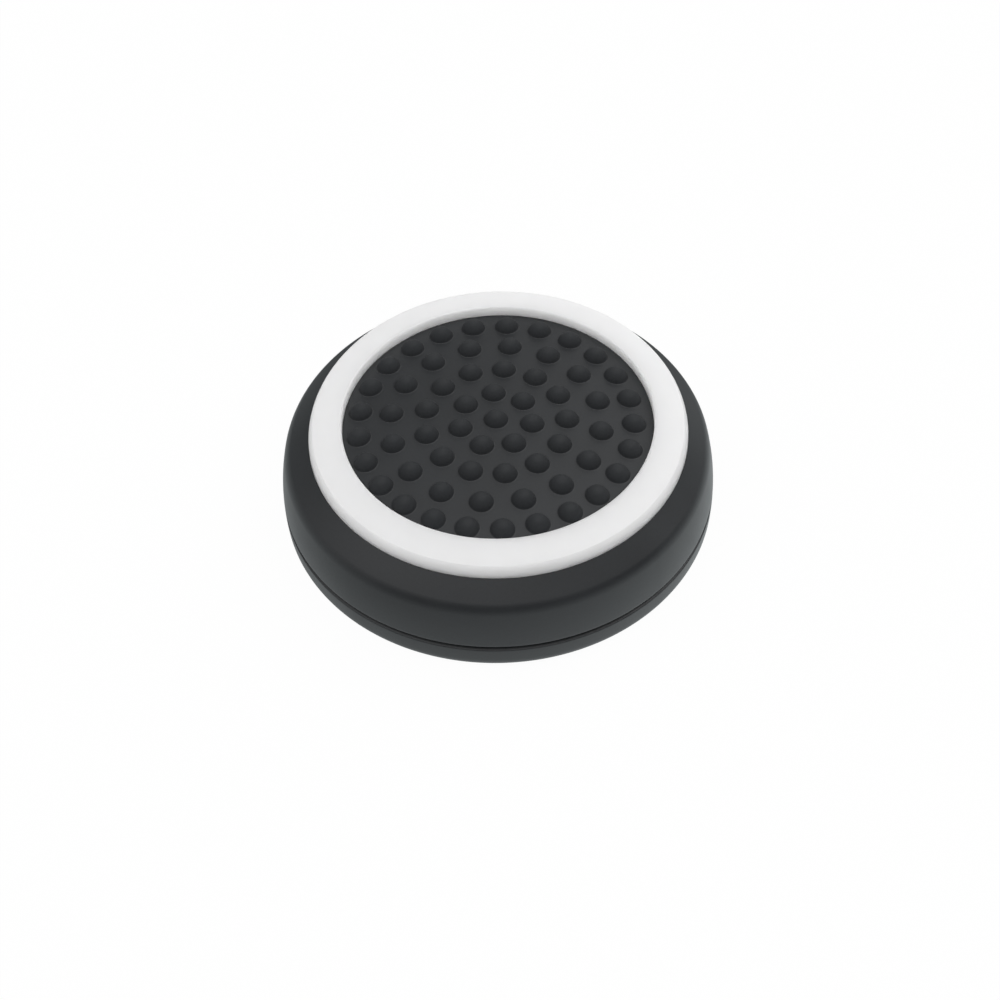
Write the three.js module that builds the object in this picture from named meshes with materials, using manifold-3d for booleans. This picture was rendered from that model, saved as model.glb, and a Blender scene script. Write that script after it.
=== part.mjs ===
// Thumb grip for the stick of a game controller: a soft cap moulded in black silicone rubber,
// with a white silicone ring set in its top, round a crowned pad with rows of small domes.
// Units are millimetres. The origin is the middle of the flat bottom rim, and +Z points up.

import * as THREE from "three";
import { mergeVertices } from "three/addons/utils/BufferGeometryUtils.js";
import Module from "manifold-3d";

// Outside of the cap
const BODY_DIAMETER = 22.0; // across the widest part of the side wall
const BELLY_HEIGHT = 1.7; // where the side wall is widest, and where the mould parted
const SIDE_CURVE_RADIUS = 11.0; // the side wall's gentle barrel curve, seen in section
const FOOT_RADIUS = 0.8; // rounding between the side wall and the flat bottom
const SHOULDER_RADIUS = 1.15; // rounding between the side wall and the slope
const SLOPE_ANGLE = 42.5; // how steeply the slope falls from the ring, in degrees

// Parting groove round the side wall, at its widest part
const GROOVE_WIDTH = 0.28;
const GROOVE_DEPTH = 0.22;

// Hollow that holds the head of the stick, and the lip that grips under it
const SIDE_WALL = 2.2; // from the belly in to the hollow
const LIP_REACH = 1.8; // from the hollow's wall in to the mouth
const LIP_THICKNESS = 1.3;
const HOLLOW_HEIGHT = 2.7; // from the lip up to the seat
const PAD_THICKNESS = 1.72; // from the seat up to the edge of the pad
const EDGE_BREAK = 0.2; // small bevel on the edges of the mouth and the hollow

// Pad and its rows of domes
const PAD_CROWN = 0.45; // how much higher the pad is in the middle than at its edge
const DOT_DIAMETER = 1.22;
const DOT_HEIGHT = 0.48;
// One entry for each round row, from the outermost in: how far its domes' middles are from
// the ring's inner wall, how many domes it has, and where its first one is, in degrees
// anticlockwise seen from above.
const DOT_ROWS = [
  { inset: 0.92, count: 25, first: 84 },
  { inset: 2.52, count: 16, first: 80.8 },
  { inset: 4.26, count: 13, first: 82 },
  { inset: 5.98, count: 7, first: 92 },
];

// White ring
const RING_INSET = 1.47; // from the belly in to the foot of the ring
const RING_WIDTH = 1.71;
const RING_RISE = 0.61; // from the edge of the pad up to the crest of the ring
const RING_FALL = 0.355; // how much the ring's top drops from its crest to its outer edge
const RING_EDGE_HEIGHT = 0.625; // the rounded outer edge, from the slope up to the crease
const RING_EDGE_WIDTH = 0.21; // the same edge, from the crease out to the foot
const RING_BEVEL = 0.1; // between the ring's inner wall and its crest
const RING_WEB = 0.74; // cap left between the seat and the channel under the ring
const RING_CLEARANCE = 0.05; // at each side of the ring in its channel

// Fineness of the round surfaces
const TURN_STEPS = 64;
const ARC_STEPS = 4;
const CROWN_STEPS = 4;
const DOT_SIDES = 8;
const DOT_ARC_STEPS = 3;
const DOT_ROOT_DEPTH = 0.2; // how far a dome reaches down into the pad

// Radii that follow from the sizes
const bodyRadius = BODY_DIAMETER / 2;
const hollowRadius = bodyRadius - SIDE_WALL;
const mouthRadius = hollowRadius - LIP_REACH;
const ringOuterRadius = bodyRadius - RING_INSET;
const ringInnerRadius = ringOuterRadius - RING_WIDTH;
const channelOuterRadius = ringOuterRadius + RING_CLEARANCE;
const padRadius = ringInnerRadius - RING_CLEARANCE;

// Heights that follow from the sizes
const seatHeight = LIP_THICKNESS + HOLLOW_HEIGHT;
const channelFloor = seatHeight + RING_WEB;
const padEdgeHeight = seatHeight + PAD_THICKNESS;
const crestHeight = padEdgeHeight + RING_RISE;
const creaseHeight = crestHeight - RING_FALL;
const ringFootHeight = creaseHeight - RING_EDGE_HEIGHT;

const wasm = await Module();
wasm.setup();

function point(radius, height) {
  return new THREE.Vector2(radius, height);
}

// Points along an arc of a section, with angles in radians up from the outward direction.
function arc(centre, radius, from, to, steps) {
  const points = [];
  for (let i = 0; i <= steps; i++) {
    const angle = from + ((to - from) * i) / steps;
    points.push(point(centre.x + radius * Math.cos(angle), centre.y + radius * Math.sin(angle)));
  }
  return points;
}

// A section turned round the Z axis. It runs anticlockwise, with the axis on its left.
function turned(section, steps) {
  const geometry = new THREE.LatheGeometry(section, steps);
  geometry.rotateX(Math.PI / 2);
  return geometry;
}

function solidOf(geometry) {
  const bare = geometry.clone();
  bare.deleteAttribute("normal");
  bare.deleteAttribute("uv");
  const merged = mergeVertices(bare);
  return new wasm.Manifold(
    new wasm.Mesh({
      numProp: 3,
      vertProperties: merged.attributes.position.array,
      triVerts: new Uint32Array(merged.index.array),
    }),
  );
}

function geometryOf(solid) {
  const mesh = solid.getMesh();
  const geometry = new THREE.BufferGeometry();
  geometry.setAttribute("position", new THREE.BufferAttribute(mesh.vertProperties, 3));
  geometry.setIndex(new THREE.BufferAttribute(mesh.triVerts, 1));
  geometry.computeVertexNormals();
  return geometry;
}

// Underside, from the middle of the seat down the hollow and out over the lip's flat face.
function undersideSection() {
  return [
    point(0, seatHeight),
    point(hollowRadius - EDGE_BREAK, seatHeight),
    point(hollowRadius, seatHeight - EDGE_BREAK),
    point(hollowRadius, LIP_THICKNESS),
    point(mouthRadius + EDGE_BREAK, LIP_THICKNESS),
    point(mouthRadius, LIP_THICKNESS - EDGE_BREAK),
    point(mouthRadius, EDGE_BREAK),
    point(mouthRadius + EDGE_BREAK, 0),
  ];
}

// Side, from the rounded foot up the barrel wall, past the groove and over the shoulder.
// The foot and the shoulder are arcs that meet the wall, the bottom and the slope smoothly.
function sideSection() {
  const wallCentre = point(bodyRadius - SIDE_CURVE_RADIUS, BELLY_HEIGHT);
  const wallArc = (from, to) => arc(wallCentre, SIDE_CURVE_RADIUS, from, to, ARC_STEPS);

  const footReach = SIDE_CURVE_RADIUS - FOOT_RADIUS;
  const footDrop = BELLY_HEIGHT - FOOT_RADIUS;
  const footAngle = -Math.asin(footDrop / footReach);
  const footCentre = point(wallCentre.x + footReach * Math.cos(footAngle), FOOT_RADIUS);

  const slope = THREE.MathUtils.degToRad(SLOPE_ANGLE);
  const outOfSlope = point(Math.sin(slope), Math.cos(slope));
  const downSlope = point(Math.cos(slope), -Math.sin(slope));
  const ringFoot = point(ringOuterRadius, ringFootHeight);
  const shoulderReach = SIDE_CURVE_RADIUS - SHOULDER_RADIUS;
  const alongNormal = ringFoot.clone().sub(wallCentre).dot(outOfSlope) - SHOULDER_RADIUS;
  const alongSlope = Math.sqrt(shoulderReach ** 2 - alongNormal ** 2);
  const shoulderCentre = wallCentre
    .clone()
    .addScaledVector(outOfSlope, alongNormal)
    .addScaledVector(downSlope, alongSlope);
  const shoulderAngle = shoulderCentre.clone().sub(wallCentre).angle();

  const grooveReach = SIDE_CURVE_RADIUS - GROOVE_DEPTH;
  const grooveAngle = Math.asin(GROOVE_WIDTH / 2 / SIDE_CURVE_RADIUS);
  return [
    ...arc(footCentre, FOOT_RADIUS, -Math.PI / 2, footAngle, ARC_STEPS),
    ...wallArc(footAngle, -grooveAngle).slice(1),
    ...arc(wallCentre, grooveReach, -grooveAngle / 2, grooveAngle / 2, 1),
    ...wallArc(grooveAngle, shoulderAngle).slice(0, -1),
    ...arc(shoulderCentre, SHOULDER_RADIUS, shoulderAngle, Math.PI / 2 - slope, ARC_STEPS),
    point(channelOuterRadius, ringFootHeight - RING_CLEARANCE * Math.tan(slope)),
  ];
}

// Height of the crowned pad at a distance from the axis.
function padHeight(radius) {
  return padEdgeHeight + PAD_CROWN * (1 - (radius / padRadius) ** 2);
}

// Top, from the channel for the ring in over the crowned pad.
function topSection() {
  const points = [
    point(channelOuterRadius, channelFloor),
    point(padRadius, channelFloor),
  ];
  for (let i = 0; i <= CROWN_STEPS; i++) {
    const radius = padRadius * (1 - i / CROWN_STEPS);
    points.push(point(radius, padHeight(radius)));
  }
  return points;
}

// One dome of the pad, part of a ball, with its base at height 0 and an upright root below.
function domeSolid() {
  const base = DOT_DIAMETER / 2;
  const radius = (base ** 2 + DOT_HEIGHT ** 2) / (2 * DOT_HEIGHT);
  const centre = point(0, DOT_HEIGHT - radius);
  const baseAngle = Math.atan2(-centre.y, base);
  const outline = arc(centre, radius, baseAngle, Math.PI / 2, DOT_ARC_STEPS);
  outline.at(-1).x = 0;
  const root = [point(0, -DOT_ROOT_DEPTH), point(base, -DOT_ROOT_DEPTH)];
  return solidOf(turned([...root, ...outline], DOT_SIDES));
}

// Where each dome stands, as seen from above: one in the middle and the rest in round rows.
function domePlaces() {
  const places = [point(0, 0)];
  for (const row of DOT_ROWS) {
    const radius = ringInnerRadius - row.inset;
    for (let i = 0; i < row.count; i++) {
      const angle = THREE.MathUtils.degToRad(row.first + (i * 360) / row.count);
      places.push(point(radius * Math.cos(angle), radius * Math.sin(angle)));
    }
  }
  return places;
}

function capGeometry() {
  const section = [...undersideSection(), ...sideSection(), ...topSection()];
  section.at(-1).x = 0;
  const dome = domeSolid();
  let cap = solidOf(turned(section, TURN_STEPS));
  for (const place of domePlaces()) {
    cap = cap.add(dome.translate([place.x, place.y, padHeight(place.length())]));
  }
  return geometryOf(cap);
}

// The ring's section: a flat foot in the channel, a rounded outer edge that rises to a crease,
// a top that falls gently outwards, and an upright inner wall with a small bevel.
function ringGeometry() {
  const edgeRadius = (RING_EDGE_WIDTH ** 2 + RING_EDGE_HEIGHT ** 2) / (2 * RING_EDGE_WIDTH);
  const edgeCentre = point(ringOuterRadius - edgeRadius, ringFootHeight);
  const creaseAngle = Math.atan2(RING_EDGE_HEIGHT, edgeRadius - RING_EDGE_WIDTH);
  const section = [
    point(ringInnerRadius, channelFloor),
    point(ringOuterRadius, channelFloor),
    ...arc(edgeCentre, edgeRadius, 0, creaseAngle, ARC_STEPS),
    point(ringInnerRadius + RING_BEVEL, crestHeight),
    point(ringInnerRadius, crestHeight - RING_BEVEL),
    point(ringInnerRadius, channelFloor),
  ];
  return turned(section, TURN_STEPS);
}

function part(name, geometry, material) {
  const mesh = new THREE.Mesh(geometry, material);
  mesh.name = name;
  return mesh;
}

const blackSilicone = new THREE.MeshStandardMaterial({
  color: 0x2b2c2e,
  roughness: 0.55,
  metalness: 0,
});
const whiteSilicone = new THREE.MeshStandardMaterial({
  color: 0xececeb,
  roughness: 0.5,
  metalness: 0,
});

const thumbGrip = new THREE.Group();
thumbGrip.add(part("grip_cap", capGeometry(), blackSilicone));
thumbGrip.add(part("accent_ring", ringGeometry(), whiteSilicone));

export default thumbGrip;
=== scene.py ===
from math import asin, atan2, cos, degrees, hypot, isclose, radians, sin, sqrt, tan

import bmesh
import bpy
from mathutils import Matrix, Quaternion, Vector


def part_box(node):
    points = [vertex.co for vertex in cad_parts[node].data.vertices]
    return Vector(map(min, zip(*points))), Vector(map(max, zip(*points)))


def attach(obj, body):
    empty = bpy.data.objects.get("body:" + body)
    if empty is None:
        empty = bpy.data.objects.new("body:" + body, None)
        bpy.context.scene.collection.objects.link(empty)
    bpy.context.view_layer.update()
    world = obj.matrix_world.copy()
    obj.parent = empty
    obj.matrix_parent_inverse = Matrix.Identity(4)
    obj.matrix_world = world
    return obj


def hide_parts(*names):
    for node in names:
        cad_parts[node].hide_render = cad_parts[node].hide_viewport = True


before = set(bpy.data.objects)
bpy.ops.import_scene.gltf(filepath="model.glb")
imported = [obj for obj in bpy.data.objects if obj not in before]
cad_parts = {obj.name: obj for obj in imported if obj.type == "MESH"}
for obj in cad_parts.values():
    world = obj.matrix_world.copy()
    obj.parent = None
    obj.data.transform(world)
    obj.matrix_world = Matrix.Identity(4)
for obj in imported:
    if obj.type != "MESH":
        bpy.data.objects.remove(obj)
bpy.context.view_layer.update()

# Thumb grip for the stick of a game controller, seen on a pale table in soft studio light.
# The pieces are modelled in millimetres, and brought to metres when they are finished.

# A metre in millimetres, and a millimetre in metres
METRE = 1000
MILLIMETRE = 0.001

cap_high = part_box("grip_cap")[1] * METRE
ring_low, ring_high = (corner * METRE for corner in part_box("accent_ring"))

# Outside of the cap, in millimetres and degrees
BODY_RADIUS = cap_high.x
BELLY_HEIGHT = 1.7
SIDE_CURVE_RADIUS = 11.0
FOOT_RADIUS = 0.8
SHOULDER_RADIUS = 1.15
SLOPE_ANGLE = 42.5

# Parting groove round the belly
GROOVE_WIDTH = 0.28
GROOVE_DEPTH = 0.22
GROOVE_EDGE = 0.05

# Underside of the cap
HOLLOW_RADIUS = 8.8
MOUTH_RADIUS = 7.0
LIP_THICKNESS = 1.3
SEAT_HEIGHT = 4.0
MOULD_EDGE = 0.2

# Ring; it and its channel sit a hair to the right of the cap's middle, as in the photograph
RING_OUTER = ring_high.x
RING_WIDTH = 1.71
RING_INNER = RING_OUTER - RING_WIDTH
RING_BOTTOM = ring_low.z
RING_CREST = ring_high.z
RING_CREASE = RING_CREST - 0.355
RING_FOOT = RING_CREASE - 0.625
RING_EDGE_WIDTH = 0.21
RING_RIM_EDGE = 0.13
RING_GAP = 0.01
RING_SHIFT = 0.09

# Pad and its domes
PAD_EDGE = RING_CREST - 0.61
PAD_CROWN = 0.45
PAD_RADIUS = RING_INNER - RING_GAP
DOME_RADIUS = 0.61
DOME_HEIGHT = 0.48
DOME_FILLET = 0.05
DOME_SKIRT = 0.05
# Each round row of domes: how far its middles stand from the ring's inner wall, how many domes
# it has, and the angle of the first
DOME_ROWS = ((0.92, 25, 84.0), (2.52, 16, 80.8), (4.26, 13, 82.0), (5.98, 7, 92.0))

# Sides of the round shapes, and steps of the curves in their sections
TURN_SIDES = 256
DOME_SIDES = 32
SHOULDER_STEPS = 14
UPPER_SIDE_STEPS = 12
LOWER_SIDE_STEPS = 8
FOOT_STEPS = 12
RING_EDGE_STEPS = 12
DOME_FILLET_STEPS = 4
DOME_BALL_STEPS = 12
GROOVE_EDGE_STEPS = 3
MOULD_EDGE_STEPS = 4
RIM_EDGE_STEPS = 5

# How near two points are when they count as one, and the widest creases that are shaded smooth
NEAR = 0.002
CAP_SMOOTH_ANGLE = 40
RING_SMOOTH_ANGLE = 30

# Black silicone: its colour, roughness and grain, and how far clouds and specks vary them
BLACK_COLOUR = (0.0136, 0.0152, 0.0172)
BLACK_CLOUDS = (0.9, 1.1)
BLACK_SPECKS = (0.93, 1.07)
BLACK_ROUGHNESS = 0.45
BLACK_DULLNESS = (0.95, 1.05)
BLACK_GRAIN = 0.12
BLACK_IOR = 1.48

# The domes are paler and duller than the rest, and a little less so within reach of their tops
DOME_PALENESS = 1.1
DOME_ROUGHNESS = 0.9
DOME_TOP_SHARE = 0.72
DOME_TOP_REACH = 0.32

# White silicone: painted light whitens the ring's inner wall, and light goes a little way in, in
# metres
WHITE_COLOUR = (0.8, 0.8, 0.8)
INNER_WALL_PAINTED_LIGHT = 1.23
WHITE_CLOUDS = (0.99, 1.01)
WHITE_ROUGHNESS = (0.47, 0.55)
WHITE_GRAIN = 0.08
WHITE_IOR = 1.41
WHITE_DEPTH = 0.0018
WHITE_DEPTH_COLOUR = (1.0, 1.0, 0.97)

# Noise in both rubbers: how many clouds or specks a metre, how detailed they are, the part of
# the noise's range that is used, and the depth of the grain in metres
CLOUD_SCALE = 420
CLOUD_DETAIL = 4
SPECK_SCALE = 9000
SPECK_DETAIL = 2
NOISE_MIDDLE = (0.3, 0.7)
GRAIN_DEPTH = 0.00002

# Camera, in millimetres and degrees, apart from the nearest thing it sees, in metres
CAMERA_DISTANCE = 125.7
CAMERA_ELEVATION = 47.3
CAMERA_PIVOT = 6.24
CAMERA_DIP = 1.852
CAMERA_PAN = 0.028
CAMERA_ROLL = -1.975
CAMERA_LENS = 90.53
CAMERA_SENSOR = 36
CAMERA_NEAREST = 0.005

# Light tent: its level overhead, and the heights between which it comes up, where the horizon
# is 0 and straight up is 1
TENT_LEVEL = 1.73
TENT_RISE = (0.4, 0.894)
# Soft round patches of the tent, in degrees: how far each one's middle is turned from the front
# to the right, and raised, how far from its middle it ends, and is full, and then its level
RIGHT_PANEL = (99, 38, 26, 0, 1.75)
LEFT_PANEL = (-92, 30, 50, 0, 0.8)
REAR_PANEL = (164, 4, 50, 0, 1.4)
DARK_FRONT = (0, -2.4, 40, 10, 0.05)
DARK_BACK_LEFT = (211, 30, 60, 0, 0.29)

# Table, in metres: it lies a hair below the cap, and the camera sees it nearly all white
TABLE_SIZE = 1.2
TABLE_DROP = 0.00002
TABLE_COLOUR = (0.8, 0.8, 0.8, 1)
TABLE_ROUGHNESS = 0.9
TABLE_GLOSS = 0.2
TABLE_SEEN = 0.97

# Table as the rubber's gloss picks it up: its tint, a patch of shade behind the cap, its levels
# on the left and on the right and how wide apart these are, and its fall with distance
GLEAM_TINT = (0.94, 1, 1.01, 1)
GLEAM_SHADE = (172, 0, 65, 25, 0.22)
GLEAM_SIDES = (0.8, 1.2)
GLEAM_REACH = 0.014
GLEAM_FALL = (0.016, 0.04)
GLEAM_FAR = 0.65


def arc(centre, radius, start, end, steps):
    """Points along an arc of a section, with angles in degrees up from the outward direction."""
    angles = [radians(start + (end - start) * i / steps) for i in range(steps + 1)]
    return [(centre[0] + radius * cos(a), centre[1] + radius * sin(a)) for a in angles]


def edit(piece):
    """Opens the piece in edit mode, with nothing selected."""
    bpy.ops.object.select_all(action="DESELECT")
    bpy.context.view_layer.objects.active = piece
    piece.select_set(True)
    bpy.ops.object.mode_set(mode="EDIT")
    bpy.ops.mesh.select_all(action="DESELECT")
    return bmesh.from_edit_mesh(piece.data)


def turned(name, outline, sides):
    """A shell raised from a circle, extruded and widened from each point of its outline on."""
    radius, height = outline[0]
    bpy.ops.object.select_all(action="DESELECT")
    bpy.ops.mesh.primitive_circle_add(vertices=sides, radius=radius, location=(0, 0, height))
    bpy.ops.object.transform_apply()
    piece = bpy.context.object
    piece.name = name
    edit(piece)
    bpy.ops.mesh.select_all(action="SELECT")
    for next_radius, next_height in outline[1:]:
        rise = (0, 0, next_height - height)
        bpy.ops.mesh.extrude_region_move(TRANSFORM_OT_translate={"value": rise})
        growth = next_radius / radius
        bpy.ops.transform.resize(value=(growth, growth, 1))
        radius, height = next_radius, next_height
    return piece


def pick_circles(piece, circles):
    """Selects the edges that run along the circles, each given by its radius and height."""
    bpy.ops.mesh.select_mode(type="EDGE")
    bpy.ops.mesh.select_all(action="DESELECT")
    shape = bmesh.from_edit_mesh(piece.data)
    for edge in shape.edges:
        radii = [hypot(end.co.x, end.co.y) for end in edge.verts]
        heights = [end.co.z for end in edge.verts]
        for radius, height in circles:
            if all(isclose(r, radius, abs_tol=NEAR) for r in radii) and all(
                isclose(h, height, abs_tol=NEAR) for h in heights
            ):
                edge.select_set(True)
    bmesh.update_edit_mesh(piece.data)


def side_outline():
    """The outside of the cap, from the slope under the ring down to the flat bottom."""
    wall = (BODY_RADIUS - SIDE_CURVE_RADIUS, BELLY_HEIGHT)
    slope = radians(SLOPE_ANGLE)
    out_of_slope = Vector((sin(slope), cos(slope)))
    down_slope = Vector((cos(slope), -sin(slope)))
    ring_foot = Vector((RING_OUTER, RING_FOOT))
    along_normal = (ring_foot - Vector(wall)) @ out_of_slope - SHOULDER_RADIUS
    along_slope = sqrt((SIDE_CURVE_RADIUS - SHOULDER_RADIUS) ** 2 - along_normal**2)
    reach = out_of_slope * along_normal + down_slope * along_slope
    shoulder = Vector(wall) + reach
    shoulder_angle = degrees(atan2(reach.y, reach.x))
    foot_drop = BELLY_HEIGHT - FOOT_RADIUS
    foot_angle = -degrees(asin(foot_drop / (SIDE_CURVE_RADIUS - FOOT_RADIUS)))
    foot_reach = sqrt((SIDE_CURVE_RADIUS - FOOT_RADIUS) ** 2 - foot_drop**2)
    foot = (wall[0] + foot_reach, FOOT_RADIUS)
    groove_angle = degrees(GROOVE_WIDTH / 2 / SIDE_CURVE_RADIUS)
    groove_reach = SIDE_CURVE_RADIUS - GROOVE_DEPTH
    return [
        (RING_OUTER + RING_GAP, RING_FOOT - RING_GAP * tan(slope)),
        *arc(shoulder, SHOULDER_RADIUS, 90 - SLOPE_ANGLE, shoulder_angle, SHOULDER_STEPS),
        *arc(wall, SIDE_CURVE_RADIUS, shoulder_angle, groove_angle, UPPER_SIDE_STEPS)[1:],
        *arc(wall, groove_reach, groove_angle / 2, -groove_angle / 2, 1),
        *arc(wall, SIDE_CURVE_RADIUS, -groove_angle, foot_angle, LOWER_SIDE_STEPS),
        *arc(foot, FOOT_RADIUS, foot_angle, -90, FOOT_STEPS)[1:],
    ]


def groove_edges(outline):
    """The two points of the outline where the side turns into the groove."""
    groove = [place for place in outline if abs(place[1] - BELLY_HEIGHT) < GROOVE_WIDTH]
    outer = [place for place in groove if place[0] > BODY_RADIUS - GROOVE_DEPTH / 2]
    return sorted(outer, key=lambda place: abs(place[1] - BELLY_HEIGHT))[:2]


def cap_shell():
    """The cap without its pad: channel, slope, shoulder, side, groove, lip and hollow."""
    channel = [
        (PAD_RADIUS, PAD_EDGE),
        (PAD_RADIUS, RING_BOTTOM),
        (RING_OUTER + RING_GAP, RING_BOTTOM),
    ]
    side = side_outline()
    underside = [
        (MOUTH_RADIUS, 0),
        (MOUTH_RADIUS, LIP_THICKNESS),
        (HOLLOW_RADIUS, LIP_THICKNESS),
        (HOLLOW_RADIUS, SEAT_HEIGHT),
    ]
    shell = turned("grip_cap_shell", [*channel, *side, *underside], TURN_SIDES)
    bpy.ops.mesh.edge_face_add()
    pick_circles(shell, [*channel, side[0]])
    bpy.ops.transform.translate(value=(RING_SHIFT, 0, 0))
    pick_circles(shell, groove_edges(side))
    bpy.ops.mesh.bevel(offset=GROOVE_EDGE, segments=GROOVE_EDGE_STEPS, affect="EDGES")
    pick_circles(shell, underside)
    bpy.ops.mesh.bevel(offset=MOULD_EDGE, segments=MOULD_EDGE_STEPS, affect="EDGES")
    bpy.ops.object.mode_set(mode="OBJECT")
    return shell


def dome():
    """One dome, part of a ball, with a small fillet round its base and a flat skirt."""
    ball = (DOME_RADIUS**2 + DOME_HEIGHT**2) / (2 * DOME_HEIGHT)
    ball_centre = (0, DOME_HEIGHT - ball)
    fillet_rise = DOME_FILLET - ball_centre[1]
    fillet_out = sqrt((ball + DOME_FILLET) ** 2 - fillet_rise**2)
    fillet_centre = (fillet_out, DOME_FILLET)
    lean = degrees(atan2(fillet_rise, fillet_out))
    outline = [
        (fillet_out + DOME_SKIRT, 0),
        *arc(fillet_centre, DOME_FILLET, 270, 180 + lean, DOME_FILLET_STEPS),
        *arc(ball_centre, ball, lean, 90, DOME_BALL_STEPS)[1:-1],
    ]
    piece = turned("dome", outline, DOME_SIDES)
    bpy.ops.mesh.extrude_region_move(TRANSFORM_OT_translate={"value": (0, 0, 0)})
    bpy.ops.mesh.merge(type="CENTER")
    bpy.ops.transform.translate(value=(0, 0, DOME_HEIGHT - outline[-1][1]))
    bpy.ops.object.mode_set(mode="OBJECT")
    return piece


def dome_places():
    """Where the domes stand, as seen from above: one in the middle, the rest in round rows."""
    places = [(0, 0)]
    for inset, count, first in DOME_ROWS:
        reach = RING_INNER - inset
        for i in range(count):
            angle = radians(first + i * 360 / count)
            places.append((reach * cos(angle), reach * sin(angle)))
    return places


def set_of_domes():
    """A copy of one dome for each place, each with its own mesh."""
    first = dome()
    domes = []
    for x, y in dome_places():
        copy = first.copy()
        copy.data = first.data.copy()
        copy.location = (x, y, 0)
        bpy.context.collection.objects.link(copy)
        domes.append(copy)
    bpy.data.objects.remove(first)
    return domes


def pad():
    """The crowned pad: the domes are set in a disc, which is then raised in its middle."""
    domes = set_of_domes()
    bpy.ops.object.select_all(action="DESELECT")
    bpy.ops.mesh.primitive_circle_add(
        vertices=TURN_SIDES, radius=PAD_RADIUS, location=(RING_SHIFT, 0, 0)
    )
    bpy.ops.object.transform_apply()
    disc = bpy.context.object
    for copy in domes:
        copy.select_set(True)
    bpy.ops.object.join()
    shape = edit(disc)
    bpy.ops.mesh.select_mode(type="EDGE")
    for edge in shape.edges:
        edge.select_set(len(edge.link_faces) < 2)
    bmesh.update_edit_mesh(disc.data)
    bpy.ops.mesh.fill(use_beauty=True)
    bpy.ops.mesh.select_mode(type="VERT")
    bpy.ops.mesh.select_all(action="DESELECT")
    shape = bmesh.from_edit_mesh(disc.data)
    middle = min(shape.verts, key=lambda v: hypot(v.co.x, v.co.y))
    middle.select_set(True)
    bmesh.update_edit_mesh(disc.data)
    bpy.ops.transform.translate(
        value=(0, 0, PAD_CROWN),
        use_proportional_edit=True,
        proportional_edit_falloff="INVERSE_SQUARE",
        proportional_size=PAD_RADIUS - RING_SHIFT,
    )
    bpy.ops.mesh.select_all(action="SELECT")
    bpy.ops.transform.translate(value=(0, 0, PAD_EDGE))
    bpy.ops.object.mode_set(mode="OBJECT")
    return disc


def finished(piece, name, smooth_angle):
    """Closes the piece, turns its faces out, smooths it and brings it to metres."""
    edit(piece)
    bpy.ops.mesh.select_all(action="SELECT")
    bpy.ops.mesh.remove_doubles(threshold=NEAR)
    bpy.ops.mesh.normals_make_consistent(inside=False)
    bpy.ops.object.mode_set(mode="OBJECT")
    bpy.ops.object.shade_smooth_by_angle(angle=radians(smooth_angle))
    piece.scale = (MILLIMETRE, MILLIMETRE, MILLIMETRE)
    bpy.ops.object.transform_apply(location=True, rotation=True, scale=True)
    piece.name = name
    piece.data.name = name
    return piece


def mark_domes(cap):
    """Marks the points on the domes: fully on their flanks, and less towards their tops."""
    mark = cap.data.attributes.new("dome", "FLOAT", "POINT")
    middles = [Vector(place) for place in dome_places()]
    for point in cap.data.vertices:
        place = point.co.xy * METRE
        if place.length < PAD_RADIUS and point.co.z * METRE > PAD_EDGE:
            nearest = min((place - middle).length for middle in middles)
            from_top = (nearest / DOME_TOP_REACH) ** 2
            share = min(1, DOME_TOP_SHARE + (1 - DOME_TOP_SHARE) * from_top)
            mark.data[point.index].value = share if nearest < DOME_RADIUS else 0


def make_cap():
    """The cap: its shell and its pad in one mesh, with the domes marked."""
    shell = cap_shell()
    top = pad()
    bpy.ops.object.select_all(action="DESELECT")
    top.select_set(True)
    shell.select_set(True)
    bpy.context.view_layer.objects.active = shell
    bpy.ops.object.join()
    cap = finished(shell, "moulded_cap", CAP_SMOOTH_ANGLE)
    mark_domes(cap)
    return cap


def make_ring():
    """The ring: upright inner wall, small rounded rim, a top that falls outwards, a full edge."""
    edge = (RING_EDGE_WIDTH**2 + (RING_CREASE - RING_FOOT) ** 2) / (2 * RING_EDGE_WIDTH)
    edge_centre = (RING_OUTER - edge, RING_FOOT)
    crease_angle = degrees(atan2(RING_CREASE - RING_FOOT, edge - RING_EDGE_WIDTH))
    outer_foot = (RING_OUTER, RING_BOTTOM)
    crest = (RING_INNER, RING_CREST)
    inner_foot = (RING_INNER, RING_BOTTOM)
    outer_edge = arc(edge_centre, edge, 0, crease_angle, RING_EDGE_STEPS)
    ring = turned("ring", [outer_foot, *outer_edge, crest, inner_foot], TURN_SIDES)
    pick_circles(ring, [outer_foot, inner_foot])
    bpy.ops.mesh.bridge_edge_loops()
    pick_circles(ring, [crest])
    bpy.ops.mesh.bevel(offset=RING_RIM_EDGE, segments=RIM_EDGE_STEPS, affect="EDGES")
    bpy.ops.mesh.select_all(action="SELECT")
    bpy.ops.transform.translate(value=(RING_SHIFT, 0, 0))
    bpy.ops.object.mode_set(mode="OBJECT")
    return finished(ring, "white_ring", RING_SMOOTH_ANGLE)


def node_material(name):
    """A new material, with its nodes, its links and its main shader."""
    material = bpy.data.materials.new(name)
    material.use_nodes = True
    nodes = material.node_tree.nodes
    return material, nodes, material.node_tree.links, nodes["Principled BSDF"]


def noise(nodes, links, place, scale, detail):
    """Cloudy noise in the piece's own space; the scale is in clouds per metre."""
    cloud = nodes.new("ShaderNodeTexNoise")
    cloud.inputs["Scale"].default_value = scale
    cloud.inputs["Detail"].default_value = detail
    links.new(place.outputs["Object"], cloud.inputs["Vector"])
    return cloud.outputs["Fac"]


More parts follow.
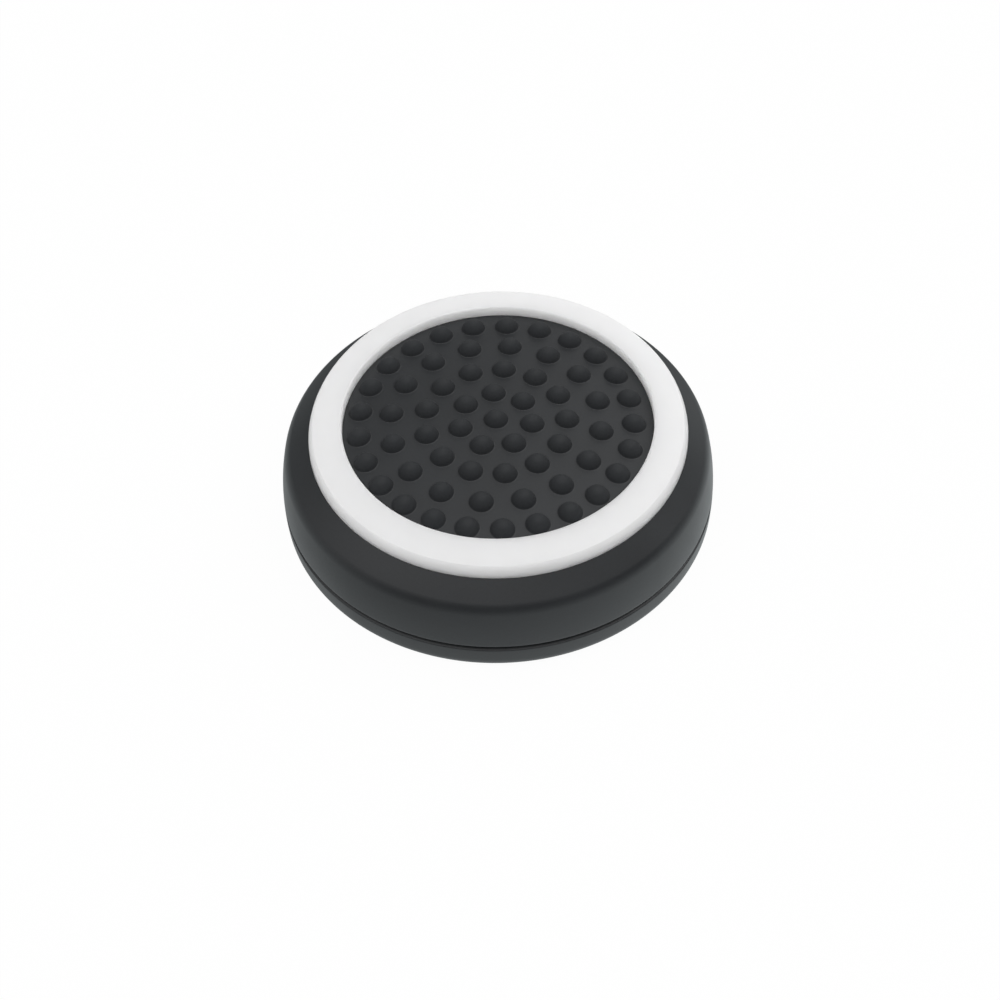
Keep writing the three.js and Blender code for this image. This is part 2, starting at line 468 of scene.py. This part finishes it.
def ranged(nodes, links, value, start, end, low, high, course="LINEAR"):
    """Goes from low to high as the value goes from start to end, and stays there beyond them."""
    step = nodes.new("ShaderNodeMapRange")
    step.interpolation_type = course
    step.inputs["From Min"].default_value = start
    step.inputs["From Max"].default_value = end
    step.inputs["To Min"].default_value = low
    step.inputs["To Max"].default_value = high
    links.new(value, step.inputs["Value"])
    return step.outputs["Result"]


def smooth_range(nodes, links, value, start, end, low, high):
    """The same as a plain range, but with a soft start and end."""
    return ranged(nodes, links, value, start, end, low, high, "SMOOTHSTEP")


def spread(nodes, links, value, low, high):
    """Brings the middle range of a noise to the values between low and high."""
    return ranged(nodes, links, value, *NOISE_MIDDLE, low, high)


def reckoned(nodes, links, operation, first, second):
    """Two values put together by a sum, a product or the like."""
    maths = nodes.new("ShaderNodeMath")
    maths.operation = operation
    links.new(first, maths.inputs[0])
    links.new(second, maths.inputs[1])
    return maths.outputs["Value"]


def product(nodes, links, first, second):
    return reckoned(nodes, links, "MULTIPLY", first, second)


def total(nodes, links, first, second):
    return reckoned(nodes, links, "ADD", first, second)


def length(nodes, links, vector):
    """How long a vector is."""
    ruler = nodes.new("ShaderNodeVectorMath")
    ruler.operation = "LENGTH"
    links.new(vector, ruler.inputs[0])
    return ruler.outputs["Value"]


def tinted(nodes, links, colour, share):
    """The colour, made darker or paler by a changing share."""
    tint = nodes.new("ShaderNodeVectorMath")
    tint.operation = "SCALE"
    tint.inputs[0].default_value = colour
    links.new(share, tint.inputs["Scale"])
    return tint.outputs["Vector"]


def grain(nodes, links, skin, height, strength):
    """A fine grain on the skin, in bump alone."""
    bump = nodes.new("ShaderNodeBump")
    bump.inputs["Strength"].default_value = strength
    bump.inputs["Distance"].default_value = GRAIN_DEPTH
    links.new(height, bump.inputs["Height"])
    links.new(bump.outputs["Normal"], skin.inputs["Normal"])


def patch(nodes, links, way, place, outside):
    """A soft round patch of directions, from its value outside to its own value in the middle."""
    turn, rise, edge, heart, inside = place
    level = cos(radians(rise))
    middle = (sin(radians(turn)) * level, -cos(radians(turn)) * level, sin(radians(rise)))
    facing = nodes.new("ShaderNodeVectorMath")
    facing.operation = "DOT_PRODUCT"
    facing.inputs[1].default_value = middle
    links.new(way, facing.inputs[0])
    edge, heart = cos(radians(edge)), cos(radians(heart))
    return smooth_range(nodes, links, facing.outputs["Value"], edge, heart, outside, inside)


def mixed(nodes, links, share, first, second):
    """The first shader, giving way to the second as the share goes from 0 to 1."""
    blend = nodes.new("ShaderNodeMixShader")
    links.new(share, blend.inputs["Fac"])
    links.new(first, blend.inputs[1])
    links.new(second, blend.inputs[2])
    return blend.outputs["Shader"]


def satin_black_rubber():
    """Black silicone: cool black, faintly cloudy and satin, and dull on the domes."""
    material, nodes, links, skin = node_material("satin_black_rubber")
    place = nodes.new("ShaderNodeTexCoord")
    clouds = noise(nodes, links, place, CLOUD_SCALE, CLOUD_DETAIL)
    specks = noise(nodes, links, place, SPECK_SCALE, SPECK_DETAIL)
    dome_mark = nodes.new("ShaderNodeAttribute")
    dome_mark.attribute_name = "dome"
    on_dome = dome_mark.outputs["Fac"]
    cloud_shade = spread(nodes, links, clouds, *BLACK_CLOUDS)
    speck_shade = spread(nodes, links, specks, *BLACK_SPECKS)
    dome_shade = ranged(nodes, links, on_dome, 0, 1, 1, DOME_PALENESS)
    shade = product(nodes, links, cloud_shade, speck_shade)
    shade = product(nodes, links, shade, dome_shade)
    links.new(tinted(nodes, links, BLACK_COLOUR, shade), skin.inputs["Base Color"])
    dullness = ranged(nodes, links, on_dome, 0, 1, BLACK_ROUGHNESS, DOME_ROUGHNESS)
    dullness = product(nodes, links, dullness, spread(nodes, links, clouds, *BLACK_DULLNESS))
    links.new(dullness, skin.inputs["Roughness"])
    grain(nodes, links, skin, specks, BLACK_GRAIN)
    skin.inputs["IOR"].default_value = BLACK_IOR
    return material


def ring_reach(nodes, links, place):
    """How far a point lies from the ring's own middle, in millimetres and seen from above."""
    flat = nodes.new("ShaderNodeVectorMath")
    flat.operation = "MULTIPLY_ADD"
    flat.inputs[1].default_value = (METRE, METRE, 0)
    flat.inputs[2].default_value = (-RING_SHIFT, 0, 0)
    links.new(place.outputs["Object"], flat.inputs[0])
    return length(nodes, links, flat.outputs["Vector"])


def milky_white_rubber():
    """White silicone: light passes a little way through it, and painted light keeps its inner wall
    whitest.
    """
    material, nodes, links, skin = node_material("milky_white_rubber")
    place = nodes.new("ShaderNodeTexCoord")
    clouds = noise(nodes, links, place, CLOUD_SCALE, CLOUD_DETAIL)
    specks = noise(nodes, links, place, SPECK_SCALE, SPECK_DETAIL)
    reach = ring_reach(nodes, links, place)
    rim = RING_INNER + RING_RIM_EDGE
    # Painted light: the inner wall and its rounded rim are coloured whiter than the rest of the ring
    wall = smooth_range(nodes, links, reach, RING_INNER, rim, INNER_WALL_PAINTED_LIGHT, 1)
    share = product(nodes, links, wall, spread(nodes, links, clouds, *WHITE_CLOUDS))
    links.new(tinted(nodes, links, WHITE_COLOUR, share), skin.inputs["Base Color"])
    links.new(spread(nodes, links, clouds, *WHITE_ROUGHNESS), skin.inputs["Roughness"])
    grain(nodes, links, skin, specks, WHITE_GRAIN)
    skin.inputs["IOR"].default_value = WHITE_IOR
    skin.inputs["Subsurface Weight"].default_value = 1.0
    skin.inputs["Subsurface Radius"].default_value = WHITE_DEPTH_COLOUR
    skin.inputs["Subsurface Scale"].default_value = WHITE_DEPTH
    return material


def dress(piece, material, node):
    """Gives the piece its material, and puts it in the place of the solid that it stands for."""
    piece.data.materials.clear()
    piece.data.materials.append(material)
    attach(piece, "root")
    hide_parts(node)


def add_camera():
    """A camera in front of the cap and above it, turned a little off the cap's middle."""
    rise = radians(CAMERA_ELEVATION)
    back = Vector((0, -cos(rise), sin(rise)))
    place = back * CAMERA_DISTANCE + Vector((0, 0, CAMERA_PIVOT))
    bpy.ops.object.camera_add(location=place * MILLIMETRE)
    camera = bpy.context.object
    camera.name = "camera"
    camera.data.lens = CAMERA_LENS
    camera.data.sensor_width = CAMERA_SENSOR
    camera.data.clip_start = CAMERA_NEAREST
    look = (-back).to_track_quat("-Z", "Y")
    pan = Quaternion((0, 1, 0), radians(-CAMERA_PAN))
    dip = Quaternion((1, 0, 0), radians(-CAMERA_DIP))
    roll = Quaternion((0, 0, 1), radians(CAMERA_ROLL))
    camera.rotation_mode = "QUATERNION"
    camera.rotation_quaternion = look @ pan @ dip @ roll
    bpy.context.scene.camera = camera


def table_gleam(nodes, links):
    """What the rubber's gloss picks up from the table: white in front, a little brighter on the
    right than on the left, in shade behind the cap, and falling off with distance."""
    place = nodes.new("ShaderNodeTexCoord").outputs["Object"]
    way = nodes.new("ShaderNodeVectorMath")
    way.operation = "NORMALIZE"
    links.new(place, way.inputs[0])
    behind = patch(nodes, links, way.outputs["Vector"], GLEAM_SHADE, outside=1)
    parts = nodes.new("ShaderNodeSeparateXYZ")
    links.new(place, parts.inputs["Vector"])
    across = smooth_range(nodes, links, parts.outputs["X"], -GLEAM_REACH, GLEAM_REACH, *GLEAM_SIDES)
    far = smooth_range(nodes, links, length(nodes, links, place), *GLEAM_FALL, 1, GLEAM_FAR)
    level = product(nodes, links, product(nodes, links, behind, across), far)
    glow = nodes.new("ShaderNodeEmission")
    glow.inputs["Color"].default_value = GLEAM_TINT
    links.new(level, glow.inputs["Strength"])
    return glow.outputs["Emission"]


def table_white():
    """White for the table: nearly all glow to the camera, its gleam to gloss, lit paint to light."""
    material, nodes, links, skin = node_material("table_white")
    skin.inputs["Base Color"].default_value = TABLE_COLOUR
    skin.inputs["Roughness"].default_value = TABLE_ROUGHNESS
    skin.inputs["Specular IOR Level"].default_value = TABLE_GLOSS
    paint = skin.outputs["BSDF"]
    glow = nodes.new("ShaderNodeEmission").outputs["Emission"]
    path = nodes.new("ShaderNodeLightPath")
    seen = ranged(nodes, links, path.outputs["Is Camera Ray"], 0, 1, 0, TABLE_SEEN)
    to_camera = mixed(nodes, links, seen, paint, glow)
    gleam = table_gleam(nodes, links)
    surface = mixed(nodes, links, path.outputs["Is Glossy Ray"], to_camera, gleam)
    links.new(surface, nodes["Material Output"].inputs["Surface"])
    return material


def add_table():
    """A white table that the camera sees nearly as bright as its backdrop, shadow included."""
    bpy.ops.mesh.primitive_plane_add(size=TABLE_SIZE, location=(0, 0, -TABLE_DROP))
    table = bpy.context.object
    table.name = "table"
    table.data.materials.append(table_white())


def add_light():
    """A light tent: bright overhead and dark low down, with panels at the sides and behind, two
    darker patches, and plain white where the camera sees it."""
    world = bpy.data.worlds.new("light_tent")
    bpy.context.scene.world = world
    world.use_nodes = True
    nodes, links = world.node_tree.nodes, world.node_tree.links
    backdrop = nodes["Background"]
    backdrop.inputs["Color"].default_value = (1, 1, 1, 1)
    way = nodes.new("ShaderNodeTexCoord").outputs["Generated"]
    parts = nodes.new("ShaderNodeSeparateXYZ")
    links.new(way, parts.inputs["Vector"])
    level = smooth_range(nodes, links, parts.outputs["Z"], *TENT_RISE, 0, TENT_LEVEL)
    for panel in (RIGHT_PANEL, LEFT_PANEL, REAR_PANEL):
        level = total(nodes, links, level, patch(nodes, links, way, panel, outside=0))
    for dark in (DARK_FRONT, DARK_BACK_LEFT):
        level = product(nodes, links, level, patch(nodes, links, way, dark, outside=1))
    path = nodes.new("ShaderNodeLightPath")
    seen = nodes.new("ShaderNodeMix")
    links.new(path.outputs["Is Camera Ray"], seen.inputs["Factor"])
    links.new(level, seen.inputs[2])
    seen.inputs[3].default_value = 1.0
    links.new(seen.outputs[0], backdrop.inputs["Strength"])


cap = make_cap()
ring = make_ring()
dress(cap, satin_black_rubber(), "grip_cap")
dress(ring, milky_white_rubber(), "accent_ring")
add_camera()
add_table()
add_light()

scene = bpy.context.scene
scene.view_settings.view_transform = "Standard"
